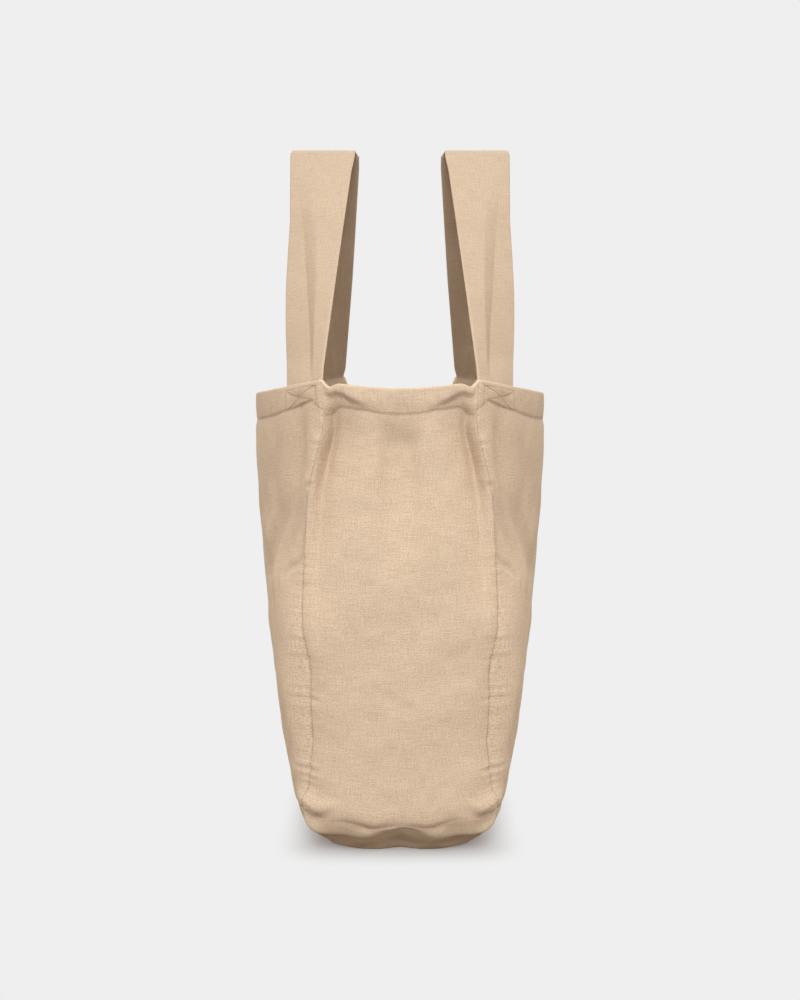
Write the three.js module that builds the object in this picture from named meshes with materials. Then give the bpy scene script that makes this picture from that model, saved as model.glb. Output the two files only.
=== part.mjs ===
// Soft linen shopping bag standing open on its own base, with two flat carrying straps.
// Millimetres, +Z up. The origin is on the floor under the middle of the base.
// Narrow gussets close the bag at -Y and +Y, wide panels close it at -X and +X.
import * as THREE from "three";

// Driving sizes
const PANEL_WIDTH = 385; // wide panel from seam to seam, along the cloth
const BODY_HEIGHT = 429; // floor to the rim at the corner seams
const HEM_HEIGHT = 22; // turned hem round the mouth
const BASE_SEAM = 38; // height of the seam between the walls and the base
const BASE_ROLL = 48; // reach of the soft curve from that seam in to the flat of the base
const CORNER_LIFT = 7; // extra height of the base seam at the corners
const STRAP_WIDTH = 64;
const STRAP_FOOT = 53; // length of rim that a strap's end takes up
const STRAP_TOP = 655; // floor to the top of the strap loops
const STRAP_TAIL = 19; // strap end sewn down inside the hem
const STRAP_APEX_X = 77; // middle of a strap's width at the top of its loop
const LOOP_RADIUS = 9; // bend at the top of a strap

// Cloth thicknesses and the gaps that keep the pieces apart
const CLOTH = 1.8;
const HEM_CLOTH = 2.8;
const HEM_PROUD = 0.4; // hem's outer face beyond the wall's
const STRAP_CLOTH = 2.2;
const SEAM_TRIM = 0.2; // cut back from each seam line
const GAP = 0.35;
const STRAP_GAP = 0.5; // strap end to the inside of the hem

// Cross-sections of the body, from the base seam up to the rim.
// seamX is the corner seam's place; the bulges and the corner rounding stand out beyond the seam lines.
const SECTIONS = [
  { height: BASE_SEAM, seamX: 79.5, panelBulge: 22, gussetBulge: 12, cornerRound: 11 },
  { height: 97, seamX: 83, panelBulge: 36, gussetBulge: 12, cornerRound: 7 },
  { height: 190, seamX: 83.5, panelBulge: 47, gussetBulge: 11, cornerRound: 4 },
  { height: 282, seamX: 82, panelBulge: 57, gussetBulge: 9, cornerRound: 4 },
  { height: 355, seamX: 79, panelBulge: 64, gussetBulge: 4, cornerRound: 4 },
  { height: BODY_HEIGHT, seamX: 69.5, panelBulge: 73, gussetBulge: 0, cornerRound: 4 },
];

// Folds pressed into the walls: straight valleys from one place to another on the cloth.
// t runs from 0 at the middle of a wall to 1 at its seam, and both halves of a wall are alike.
const PANEL_FOLDS = [
  { fromT: 0.93, fromHeight: 350, toT: 0.64, toHeight: 250, width: 16, depth: 6 },
  { fromT: 0.94, fromHeight: 270, toT: 0.8, toHeight: 250, width: 8, depth: 2.5 },
  { fromT: 0.78, fromHeight: 200, toT: 0.84, toHeight: 100, width: 14, depth: 3 },
];
const GUSSET_FOLDS = [
  { fromT: 0, fromHeight: 404, toT: 0.05, toHeight: 380, width: 22, depth: 3.5 },
  { fromT: 0.95, fromHeight: 62, toT: 0.72, toHeight: 56, width: 9, depth: 4 },
];

// Shape of the rim: the panels sag at mid-width, and the gussets fold in beside the corners.
const RIM_SAG = { from: 168, drop: 15 };
const RIM_FOLD = { from: 329, t: 0.72, width: 0.17, depth: 16 };
const RIM_DIP = { middle: 7, fold: 3, foldT: 0.8, foldWidth: 0.12 };

// Lengthwise crease of a strap's legs, from its inner edge at the rim to its outer edge near the top.
const CREASE = { startW: 0.17, drift: 0.95, depth: 6, back: 0.22, fadeIn: 0.15, fadeOut: 0.85 };

// Sideways bow of a leg's inner and outer edges, away from a straight leg, for the legs at -Y and +Y
const BOWS = [
  { end: -1, inner: 2, outer: 2.5 },
  { end: 1, inner: 6, outer: 2.5 },
];

// Facets along and round each piece
const WALL_ROWS = 16;
const PANEL_COLUMNS = 18;
const GUSSET_COLUMNS = 18;
const HEM_ROWS = 3;
const HEM_PANEL_COLUMNS = 24;
const ROLL_STEPS = 5;
const STRAP_COLUMNS = 10;
const TAIL_ROWS = 2;
const LEG_ROWS = 10;
const LOOP_ROWS = 4;

const LINEN = { panel: 0xcdb395, gusset: 0xdbc3a9, base: 0xb8a083, hem: 0xd6bfa4, strap: 0xdac3a8 };

const { clamp, lerp } = THREE.MathUtils;
const ease = (x) => THREE.MathUtils.smoothstep(x, 0, 1);
const bell = (x) => Math.exp(-x * x);
const steps = (count, from, to) =>
  Array.from({ length: count + 1 }, (_, i) => lerp(from, to, i / count));

// Slope of a column of SECTIONS at one of its rows
function sectionSlope(column, i) {
  const low = SECTIONS[Math.max(i - 1, 0)];
  const high = SECTIONS[Math.min(i + 1, SECTIONS.length - 1)];
  return (high[column] - low[column]) / (high.height - low.height);
}

// A column of SECTIONS at any height, on a cubic curve through the rows
function section(column, height) {
  const last = SECTIONS.length - 1;
  const z = clamp(height, SECTIONS[0].height, SECTIONS[last].height);
  let i = 0;
  while (i < last - 1 && SECTIONS[i + 1].height < z) i += 1;
  const span = SECTIONS[i + 1].height - SECTIONS[i].height;
  const u = (z - SECTIONS[i].height) / span;
  const rise = u * u * (3 - 2 * u);
  const start = u * (1 - u) ** 2 * span * sectionSlope(column, i);
  const end = u * u * (u - 1) * span * sectionSlope(column, i + 1);
  return lerp(SECTIONS[i][column], SECTIONS[i + 1][column], rise) + start + end;
}

// Corner seam's distance from the middle along Y: half the chord of a parabola
// that has the panel's bulge and keeps the cloth's cut width.
function seamY(height) {
  const bulge = section("panelBulge", height);
  return (PANEL_WIDTH + Math.sqrt(PANEL_WIDTH ** 2 - (32 / 3) * bulge ** 2)) / 4;
}

// How far the walls stand out beyond their seam lines at t
const standOut = (bulge, round, t) => bulge * (1 - t * t) + round * (1 - t ** 8);

// Depth of the folds at a place on a wall, fading to nothing at the seams
function foldDepth(folds, halfWidth, t, height) {
  const across = Math.abs(t);
  const place = new THREE.Vector3(across * halfWidth, height, 0);
  const nearest = new THREE.Vector3();
  let depth = 0;
  for (const fold of folds) {
    const line = new THREE.Line3(
      new THREE.Vector3(fold.fromT * halfWidth, fold.fromHeight, 0),
      new THREE.Vector3(fold.toT * halfWidth, fold.toHeight, 0),
    );
    line.closestPointToPoint(place, true, nearest);
    depth += fold.depth * bell(nearest.distanceTo(place) / fold.width);
  }
  return depth * (1 - across ** 12);
}

// The base seam, and the cloth close above it, rises towards the corners.
const liftedBy = (t, height) =>
  CORNER_LIFT * t ** 6 * clamp(1 - (height - BASE_SEAM) / 60, 0, 1) ** 2;

// Point on a wide panel. side is -1 or 1 along X, and inset moves in from the outer face.
function panelPoint(side, t, height, inset) {
  const out = standOut(section("panelBulge", height), section("cornerRound", height), t);
  const fold = foldDepth(PANEL_FOLDS, PANEL_WIDTH / 2, t, height);
  const sag = RIM_SAG.drop * ease((height - RIM_SAG.from) / (BODY_HEIGHT - RIM_SAG.from)) * (1 - t * t);
  const x = section("seamX", height) - inset + out - fold;
  return new THREE.Vector3(side * x, (seamY(height) - inset) * t, height + liftedBy(t, height) - sag);
}

// Point on a gusset. end is -1 or 1 along Y.
function gussetPoint(end, t, height, inset) {
  const seamX = section("seamX", height);
  const out = standOut(section("gussetBulge", height), section("cornerRound", height), t);
  const across = Math.abs(t);
  const nearRim = ease((height - RIM_FOLD.from) / (BODY_HEIGHT - RIM_FOLD.from));
  const rimFold = nearRim * RIM_FOLD.depth * bell((across - RIM_FOLD.t) / RIM_FOLD.width);
  const foldDip = RIM_DIP.fold * bell((across - RIM_DIP.foldT) / RIM_DIP.foldWidth);
  const dip = nearRim * (RIM_DIP.middle * (1 - t * t) + foldDip);
  const fold = foldDepth(GUSSET_FOLDS, seamX, t, height);
  const y = seamY(height) - inset + out - rimFold * (1 - across ** 12) - fold;
  return new THREE.Vector3((seamX - inset) * t, end * y, height + liftedBy(t, height) - dip);
}

// Closed wall between an outer and an inner grid of points. A loop joins its last column to its first.
function closedWall(outer, inner, loop = false) {
  const rows = outer.length;
  const columns = outer[0].length;
  const lastRow = rows - 1;
  const lastColumn = columns - 1;
  const spans = loop ? columns : lastColumn;
  const at = (face, row, column) => (face * rows + row) * columns + (column % columns);
  const index = [];
  const quad = (a, b, c, d) => index.push(a, b, c, a, c, d);
  for (let c = 0; c < spans; c += 1) {
    for (let r = 0; r < lastRow; r += 1) {
      quad(at(0, r, c), at(0, r, c + 1), at(0, r + 1, c + 1), at(0, r + 1, c));
      quad(at(1, r + 1, c), at(1, r + 1, c + 1), at(1, r, c + 1), at(1, r, c));
    }
    quad(at(1, 0, c), at(1, 0, c + 1), at(0, 0, c + 1), at(0, 0, c));
    quad(at(0, lastRow, c), at(0, lastRow, c + 1), at(1, lastRow, c + 1), at(1, lastRow, c));
  }
  for (let r = 0; r < lastRow && !loop; r += 1) {
    quad(at(0, r, 0), at(0, r + 1, 0), at(1, r + 1, 0), at(1, r, 0));
    quad(at(1, r, lastColumn), at(1, r + 1, lastColumn), at(0, r + 1, lastColumn), at(0, r, lastColumn));
  }
  const points = [...outer.flat(), ...inner.flat()];
  const geometry = new THREE.BufferGeometry().setFromPoints(points);
  geometry.setIndex(enclosedVolume(points, index) > 0 ? index : index.reverse());
  geometry.computeVertexNormals();
  return geometry;
}

// Signed volume inside a closed set of triangles: negative where they face inwards
function enclosedVolume(points, index) {
  const normal = new THREE.Vector3();
  let volume = 0;
  for (let i = 0; i < index.length; i += 3) {
    normal.crossVectors(points[index[i + 1]], points[index[i + 2]]);
    volume += points[index[i]].dot(normal) / 6;
  }
  return volume;
}

function piece(name, geometry, color) {
  const material = new THREE.MeshStandardMaterial({ color, roughness: 0.95, metalness: 0 });
  const mesh = new THREE.Mesh(geometry, material);
  mesh.name = name;
  return mesh;
}

// One panel or gusset, from the base seam up to the hem's lower edge
function wallPiece(name, pointOn, side, columns, halfWidth, color) {
  const edge = 1 - SEAM_TRIM / halfWidth;
  const heights = steps(WALL_ROWS, BASE_SEAM + GAP, BODY_HEIGHT - HEM_HEIGHT - GAP);
  const face = (inset) =>
    heights.map((height) => steps(columns, -edge, edge).map((t) => pointOn(side, t, height, inset)));
  return piece(name, closedWall(face(0), face(CLOTH)), color);
}

// Turned hem: one ring round the mouth, over both panels and both gussets
function rimHem() {
  const panelT = steps(HEM_PANEL_COLUMNS, -1, 1).slice(0, -1);
  const gussetT = steps(GUSSET_COLUMNS, -1, 1).slice(0, -1);
  const round = (height, inset) => [
    ...panelT.map((t) => panelPoint(1, t, height, inset)),
    ...gussetT.map((t) => gussetPoint(1, -t, height, inset)),
    ...panelT.map((t) => panelPoint(-1, -t, height, inset)),
    ...gussetT.map((t) => gussetPoint(-1, t, height, inset)),
  ];
  const heights = steps(HEM_ROWS, BODY_HEIGHT - HEM_HEIGHT, BODY_HEIGHT);
  const face = (inset) => heights.map((height) => round(height, inset));
  return piece("rim_hem", closedWall(face(-HEM_PROUD), face(HEM_CLOTH - HEM_PROUD), true), LINEN.hem);
}

// Places across the base, from edge to edge, closest together where the cloth rolls under
function rollGrid(halfWidth) {
  const angles = steps(ROLL_STEPS, Math.PI / 2, 0);
  const roll = angles.map((angle) => 1 - (1 - Math.sin(angle)) * (BASE_ROLL / halfWidth));
  const flat = [0.5, 0.17].map((share) => share * roll[ROLL_STEPS]);
  const half = [...roll, ...flat];
  return [...half, ...half.map((a) => -a).reverse()];
}

// Base: flat where it stands, and rolled up to the base seam along all four edges
function basePanel() {
  const seamX = section("seamX", BASE_SEAM);
  const panelBulge = section("panelBulge", BASE_SEAM);
  const gussetBulge = section("gussetBulge", BASE_SEAM);
  const cornerRound = section("cornerRound", BASE_SEAM);
  const columns = rollGrid(seamX + panelBulge);
  const rows = rollGrid(seamY(BASE_SEAM) + gussetBulge);
  const point = (a, b, inset) => {
    const halfX = seamX - inset + standOut(panelBulge, cornerRound, b);
    const halfY = seamY(BASE_SEAM) - inset + standOut(gussetBulge, cornerRound, a);
    const reach = BASE_ROLL - inset;
    const rollX = 1 - (halfX * (1 - Math.abs(a))) / reach;
    const rollY = 1 - (halfY * (1 - Math.abs(b))) / reach;
    const roll = clamp(Math.max(rollX, rollY), 0, 1);
    const top = BASE_SEAM - GAP / 2 + CORNER_LIFT * (a * b) ** 6;
    const rise = 1 - Math.sqrt(1 - roll * roll);
    return new THREE.Vector3(a * halfX, b * halfY, lerp(inset, top, rise));
  };
  const face = (inset) => rows.map((b) => columns.map((a) => point(a, b, inset)));
  return piece("base_panel", closedWall(face(0), face(CLOTH)), LINEN.base);
}

// Places across a strap's end along the rim, spaced evenly on the cloth from near the corner seam
function strapFeet() {
  const half = seamY(BODY_HEIGHT);
  const bulge = section("panelBulge", BODY_HEIGHT);
  const clearOfSeam = 3;
  const feet = [-1 + clearOfSeam / half];
  for (let k = 0; k < STRAP_COLUMNS; k += 1) {
    const t = feet[k];
    const slope = (2 * bulge * t) / half;
    feet.push(t + STRAP_FOOT / STRAP_COLUMNS / (half * Math.hypot(1, slope)));
  }
  return feet;
}

// How far a leg's crease stands out, q up the leg and w across it from the inner edge
function creaseOut(q, w) {
  const ridge = Math.min(CREASE.startW + CREASE.drift * q, 1);
  const fade = ease(q / CREASE.fadeIn) * ease((CREASE.fadeOut - q) / 0.4);
  const profile = w > ridge ? (1 - w) / (1 - ridge) : 1 - (ridge - w) / CREASE.back;
  return CREASE.depth * fade * Math.max(profile, 0);
}

// Sideways shift of a leg, q up it and w across it: the inner edge bows inwards and the outer edge outwards
function bowOut(bow, q, w) {
  const fade = ease((1 - q) / 0.1);
  const inner = bow.inner * Math.min(q / 0.5, 1) * (1 - w);
  const outer = bow.outer * Math.sin(Math.PI * Math.min(q / 0.7, 1)) * w;
  return fade * (outer - inner);
}

// One strap: sewn inside the hem near both ends of a panel, with straight legs up to a round loop
function strap(name, side) {
  const feet = strapFeet();
  const across = steps(STRAP_COLUMNS, 0, 1);
  const centreZ = STRAP_TOP - LOOP_RADIUS;
  const hemInside = HEM_CLOTH - HEM_PROUD + STRAP_GAP;
  const middleFoot = panelPoint(side, feet[STRAP_COLUMNS / 2], BODY_HEIGHT, hemInside);
  const toFoot = Math.atan2(middleFoot.z - centreZ, middleFoot.y) + 2 * Math.PI;
  const legMeetsLoop = toFoot - Math.acos(LOOP_RADIUS / Math.hypot(middleFoot.y, middleFoot.z - centreZ));
  const footOut = new THREE.Vector3(side, -1, 0).normalize();
  const topOut = new THREE.Vector3(0, -1, 0);
  const loopPoint = (w, angle, radius) =>
    new THREE.Vector3(
      side * (STRAP_APEX_X + (w - 0.5) * STRAP_WIDTH),
      radius * Math.cos(angle),
      centreZ + radius * Math.sin(angle),
    );
  const legPoint = (bow, w, k, q, depth) => {
    const point = panelPoint(side, feet[k], BODY_HEIGHT, hemInside + depth);
    const out = footOut.clone().lerp(topOut, q).normalize();
    point.lerp(loopPoint(w, legMeetsLoop, LOOP_RADIUS - depth), q);
    point.addScaledVector(out, creaseOut(q, w));
    point.x += side * bowOut(bow, q, w);
    return point;
  };
  // Rows of one half, from the tail up to the top of the loop, turned towards its end of the bag
  const half = (bow, depth) => {
    const tailHeights = steps(TAIL_ROWS, BODY_HEIGHT - STRAP_TAIL, BODY_HEIGHT).slice(0, -1);
    const tail = tailHeights.map((height) =>
      across.map((_, k) => panelPoint(side, feet[k], height, hemInside + depth)),
    );
    const leg = steps(LEG_ROWS, 0, 1).map((q) => across.map((w, k) => legPoint(bow, w, k, q, depth)));
    const loop = steps(LOOP_ROWS, legMeetsLoop, Math.PI / 2)
      .slice(1)
      .map((angle) => across.map((w) => loopPoint(w, angle, LOOP_RADIUS - depth)));
    const turned = new THREE.Vector3(1, -bow.end, 1);
    return [...tail, ...leg, ...loop].map((row) => row.map((point) => point.multiply(turned)));
  };
  const [near, far] = BOWS;
  const face = (depth) => [...half(near, depth), ...half(far, depth).slice(0, -1).reverse()];
  return piece(name, closedWall(face(0), face(STRAP_CLOTH)), LINEN.strap);
}

const body = new THREE.Group();
const gussetHalf = section("seamX", BASE_SEAM);
body.add(wallPiece("gusset_front", gussetPoint, -1, GUSSET_COLUMNS, gussetHalf, LINEN.gusset));
body.add(wallPiece("gusset_rear", gussetPoint, 1, GUSSET_COLUMNS, gussetHalf, LINEN.gusset));
body.add(wallPiece("panel_left", panelPoint, -1, PANEL_COLUMNS, PANEL_WIDTH / 2, LINEN.panel));
body.add(wallPiece("panel_right", panelPoint, 1, PANEL_COLUMNS, PANEL_WIDTH / 2, LINEN.panel));
body.add(basePanel());
body.add(rimHem());

const straps = new THREE.Group();
straps.add(strap("strap_left", -1));
straps.add(strap("strap_right", 1));

const bag = new THREE.Group();
bag.add(body, straps);
export default bag;
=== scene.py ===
import math

import bpy
import numpy as np
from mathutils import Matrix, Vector


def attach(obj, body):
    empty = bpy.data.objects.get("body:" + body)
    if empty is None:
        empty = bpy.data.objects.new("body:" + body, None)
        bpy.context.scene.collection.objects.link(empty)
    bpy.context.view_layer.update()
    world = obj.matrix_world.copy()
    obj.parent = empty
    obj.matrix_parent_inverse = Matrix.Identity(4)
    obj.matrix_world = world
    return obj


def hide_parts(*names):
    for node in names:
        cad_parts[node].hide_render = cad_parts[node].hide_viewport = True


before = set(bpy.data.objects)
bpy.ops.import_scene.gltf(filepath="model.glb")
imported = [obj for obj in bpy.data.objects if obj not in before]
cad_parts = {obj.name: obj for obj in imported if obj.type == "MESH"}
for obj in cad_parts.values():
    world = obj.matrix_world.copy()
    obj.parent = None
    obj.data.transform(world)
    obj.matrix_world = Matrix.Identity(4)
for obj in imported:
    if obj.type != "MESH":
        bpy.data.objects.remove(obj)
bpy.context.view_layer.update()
mm = 0.001
print("frame loaded,", len(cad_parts), "nodes")

# Sizes of the body in millimetres; the panel's width, the heights and the hem are those of the solids
body = {
    "panelWidth": 385.0,  # wide panel from seam to seam along the cloth
    "gussetWidth": 165.0,  # narrow wall between its corner seams
    "rim": 429.0,  # floor to the rim at the corner seams
    "hem": 22.0,
    "baseSeam": 38.0,  # floor to the seam between the walls and the base
    "cornerLift": 7.0, "liftReach": 60.0,  # rise of the base seam at the corners, felt this far up
    "cloth": 1.4,
}
sections = {  # one column for each measure, from the base seam up to the rim
    "at": np.array([38, 97, 190, 282, 355, 429.0]),
    "seamX": np.array([79.5, 83, 83.5, 82, 79, 69.5]),
    "panelBulge": np.array([18.6, 22, 33, 55, 66, 74.0]),
    "gussetBulge": np.array([12, 12, 10, 3, 2, 6.0]),
    "panelRound": np.array([10.5, 16, 18.5, 8, 3, 4.0]),
    "panelFlat": np.array([0, 0, 0, 3, 10, 2.0]),  # how much a panel is drawn flat beside its seams
    "gussetRound": np.array([11, 7, 6, 12, 11, 8.0]),
}
seamDrift = {  # how far the corner seams wander across the rounded corners, towards the sides
    "at": np.array([38, 45, 52.5, 60, 75, 90, 110, 145, 173, 210, 253, 324, 355, 392, 429.0]),
    "shift": np.array([10.5, 9.5, 7, 2.8, -0.3, -2.7, -4.6, -3.3, -3.6, 3.5, 3.9, 1.6, -2.8, -7, 0]),
}
hemLine = body["rim"] - body["hem"]
panelHalf, gussetHalf = body["panelWidth"] / 2, body["gussetWidth"] / 2


# bell curve: e to the power of minus x squared
def bell(x):
    return np.exp(-x * x)


# smooth step from 0 to 1: three x squared less two x cubed
def ease(x):
    x = np.clip(x, 0, 1)
    return x * x * (3 - 2 * x)


# cubic through a column's rows, each row's slope taken between its neighbours
def section(table, column, at):
    stops, v = table["at"], table[column]
    rows = np.arange(len(stops))
    low, high = np.maximum(rows - 1, 0), np.minimum(rows + 1, len(stops) - 1)
    slope = (v[high] - v[low]) / (stops[high] - stops[low])
    at = np.clip(at, stops[0], stops[-1])
    i = np.clip(np.searchsorted(stops, at) - 1, 0, len(stops) - 2)
    span = stops[i + 1] - stops[i]
    u = (at - stops[i]) / span
    bend = span * (u * (1 - u) ** 2 * slope[i] + u * u * (u - 1) * slope[i + 1])
    return v[i] + (v[i + 1] - v[i]) * u * u * (3 - 2 * u) + bend


# half the chord of a parabola that has the panel's bulge and the cloth's cut width, where the width is
# the chord plus 8/3 of the bulge squared over the chord
def seamY(z):
    bulge = section(sections, "panelBulge", z)
    return (body["panelWidth"] + np.sqrt(body["panelWidth"] ** 2 - 32 / 3 * bulge**2)) / 4


# half the distance across the bag between two corner seams, with their drift
def seamX(z):
    return section(sections, "seamX", z) + section(seamDrift, "shift", z)


waves = {
    "phase": 6.3,  # phases are drawn from a whole turn, in radians
    "low": [0, 0, 0.7], "high": [np.pi, 6.3, 1.6],  # turn, phase and stretch of a plane wave
    "count": 10,
    # half width that a wall's waves are laid on, and a gusset's folds
    "half": {"panel": 190.0, "gusset": 82.0},
    "layers": {  # height, wavelength and seed
        "panel": [(0.9, 85, 11), (0.35, 30, 12)],
        "gusset": [(0.7, 80, 21), (0.15, 26, 22)],
    },
}


# mean of sines of the given wavelengths, each with its own drawn phase
def ripples(x, lengths, seed):
    draw = np.random.default_rng(seed)
    return sum(np.sin(2 * np.pi * x / w + draw.uniform(0, waves["phase"])) for w in lengths) / len(lengths)


# sum of plane waves of about one wavelength in drawn directions, over the root of their number
def undulation(u, v, size, seed):
    draw = np.random.default_rng(seed)
    total = 0
    for turn, phase, stretch in draw.uniform(waves["low"], waves["high"], (waves["count"], 3)):
        reach = 2 * np.pi / (size * stretch)
        total = total + np.sin(reach * (u * np.cos(turn) + v * np.sin(turn)) + phase)
    return total / math.sqrt(waves["count"])


# soft waves of a wall's cloth: the sum of its layers, each a height times an undulation
def wallWaves(kind, t, z):
    across = t * waves["half"][kind]
    return sum(high * undulation(across, z, size, seed) for high, size, seed in waves["layers"][kind])


# shortest distance from each point to a bent line, and the share of the line's length there
def alongLine(u, v, path):
    path = np.array(path, float)
    lengths = np.hypot(*np.diff(path, axis=0).T)
    starts = np.concatenate([[0], np.cumsum(lengths)])
    best, share = np.full(np.shape(u), np.inf), np.zeros(np.shape(u))
    for (u0, v0), (u1, v1), length, start in zip(path[:-1], path[1:], lengths, starts):
        f = np.clip(((u - u0) * (u1 - u0) + (v - v0) * (v1 - v0)) / length**2, 0, 1)
        d = np.hypot(u - u0 - f * (u1 - u0), v - v0 - f * (v1 - v0))
        share = np.where(d < best, (start + f * length) / starts[-1], share)
        best = np.minimum(best, d)
    return best, share, starts / starts[-1]


# a fold is a bell across a bent line, its width and depth drawn between the line's points
def foldDepth(folds, half, t, z):
    total = np.zeros(np.shape(t))
    for fold in folds:
        place, height, width, depth = np.array(fold, float).T
        d, share, stops = alongLine(t * half, z, np.stack([place * half, height], -1))
        total = total + np.interp(share, stops, depth) * bell(d / np.interp(share, stops, width))
    return total


# a fold beside one seam, and its mirror image beside the other
def bothSeams(*fold):
    return [list(fold), [(-t, *rest) for t, *rest in fold]]


# Folds as points of (t, height, width, depth); t is -1 at the front seam and 1 at the rear one
panelFolds = [
    [(-0.84, 424, 13, 0), (-0.85, 402, 14, 3.5), (-0.85, 380, 15, 6), (-0.84, 358, 15, 6),
     (-0.81, 335, 15, 5.5), (-0.76, 316, 15, 5.5), (-0.67, 298, 15, 6), (-0.58, 280, 15, 6.5),
     (-0.5, 262, 15, 6), (-0.42, 240, 15, 3.5)],
    [(-0.93, 296, 7, -1.5), (-0.88, 275, 8, -3), (-0.8, 250, 8, -2.5)],
    [(-0.985, 270, 2.5, 1.5), (-0.9, 262, 3.5, 2.4), (-0.825, 252, 5, 1.2)],
    [(-0.66, 226, 9, 1), (-0.72, 200, 9, 2), (-0.77, 165, 9, 2.5), (-0.83, 120, 10, 2.5),
     (-0.85, 90, 11, 1)],
    [(-0.62, 392, 12, 1), (-0.55, 330, 15, 2), (-0.5, 290, 18, 1)],
    [(0.95, 372, 6, 2), (0.86, 320, 9, 4), (0.66, 256, 14, 5), (0.5, 236, 15, 3)],
    [(0.72, 205, 9, 1.5), (0.78, 160, 11, 2.5), (0.83, 100, 12, 2)],
    [(0.12, 388, 16, 1.5), (0.05, 300, 22, 3), (0.2, 210, 26, 1.5)],
    *bothSeams((-0.985, 312, 24, 5), (-0.92, 298, 26, 6), (-0.82, 282, 26, 6), (-0.7, 262, 24, 3)),
    *bothSeams((-0.975, 67, 10, 2), (-0.93, 62, 10, 1.5)),
]
# Folds of the gussets, in the same way; t is -1 and 1 at the two corner seams
gussetFolds = [
    [(0.01, 428, 3, 0.5), (0.02, 414, 4, 1.5), (0.0, 404, 6, 1)],
    *bothSeams((-0.89, 404, 6.5, 6), (-0.87, 375, 7, 7), (-0.86, 349, 7.5, 6.5), (-0.86, 320, 9, 5),
               (-0.87, 280, 10, 3.5), (-0.88, 220, 11, 0)),
    *bothSeams((-0.99, 46, 5, 2), (-0.92, 42, 5.5, 3.5), (-0.85, 40, 6, 4), (-0.77, 42, 5.5, 3),
               (-0.66, 46, 6, 1)),
    *bothSeams((-0.96, 66, 11, 2.4), (-0.86, 60, 12, 2), (-0.7, 57, 12, 0.6)),
]
foldEnds = {"panel": 36, "gusset": 24}  # powers of t that end the folds at the seams
relief = {
    "groove": 1.1, "grooveWidth": 1.0,
    "pucker": 0.5, "puckerReach": 8, "puckerLengths": (7.3, 9.1, 12.7, 17), "puckerSeed": 3,
    "lowPucker": 0.8, "lowFrom": 130, "lowFade": 60,  # puckers are stronger low down
    "swell": {"pucker": (0.4, (61, 93), 4), "groove": (0.25, (23, 37), 6)},  # share, lengths and seed
    "baseGroove": 0.3, "baseGrooveWidth": 1.4,
    "pinch": 2.4, "pinchHigh": 4.0, "pinchAlong": 12,  # drawn in under each corner
    "corner": 2.0, "cornerT": 0.86, "cornerWidth": 0.08, "cornerHigh": 5,  # valley by each corner
    "crease": 2.6, "creaseT": 0.27, "creaseWidth": 0.2, "creaseHigh": 3,  # each side of mid-width
    "curl": 2.5, "curlHigh": 16,  # the gussets curl in above the base seam
}


# inset where the walls and the base meet at a corner, by distance from the base seam and along it
def pinch(away, along):
    return relief["pinch"] * bell(away / relief["pinchHigh"]) * bell(along / relief["pinchAlong"])


# strength that comes and goes along a seam: 1 less a share, plus that share of ripples
def swelling(kind, z):
    share, lengths, seed = relief["swell"][kind]
    return 1 - share + share * ripples(z, lengths, seed)


# extra inset near a corner seam: a narrow groove, and puckers that run across it, alike on both walls
def seamInset(t, z, half):
    d = (1 - np.abs(t)) * half
    puckers = ripples(z, relief["puckerLengths"], relief["puckerSeed"]) * swelling("pucker", z)
    puckers = puckers * (1 + relief["lowPucker"] * ease((relief["lowFrom"] - z) / relief["lowFade"]))
    puckers = relief["pucker"] * puckers * bell(d / relief["puckerReach"])
    groove = relief["groove"] * swelling("groove", z) * bell(d / relief["grooveWidth"])
    return groove + pinch(z - body["baseSeam"], d) + puckers


# inset beside the base seam of the ends: its groove, creases by mid-width and a valley by each corner
def baseSeamInset(t, away):
    across = np.abs(t)
    valley = relief["corner"] * bell((across - relief["cornerT"]) / relief["cornerWidth"])
    crease = relief["crease"] * bell((across - relief["creaseT"]) / relief["creaseWidth"])
    hollow = valley * bell(away / relief["cornerHigh"]) + crease * bell(away / relief["creaseHigh"])
    groove = relief["baseGroove"] * bell(away / relief["baseGrooveWidth"])
    return groove + hollow * (1 - across**12)


# the gussets curl in just above the base seam: a parabola that ends at the curl's height
def endCurl(t, away):
    return relief["curl"] * np.clip(1 - away / relief["curlHigh"], 0, 1) ** 2 * (1 - t**12)


# how much the cloth follows the base seam's waves: 1 at the seam, falling as a parabola
def nearBase(away):
    return np.clip(1 - away / body["liftReach"], 0, 1) ** 2


# the base seam and the cloth close above it rise towards the corners, as the sixth power of t
def lifted(t, z):
    return body["cornerLift"] * np.abs(t) ** 6 * nearBase(z - body["baseSeam"])


baseLine = {  # rise of the ends' base seam, by place from mid-width to a corner
    "at": np.array([0, 0.12, 0.27, 0.42, 0.56, 0.7, 0.84, 0.95, 1]),
    "rise": np.array([-1.1, -2, -4.5, -1, 2.4, 1.2, -2.5, -2.2, 0]),
}


# the base seam of the ends dips beside mid-width and again beside the corners, as its table says
def endRise(t):
    return section(baseLine, "rise", np.abs(t))


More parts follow.
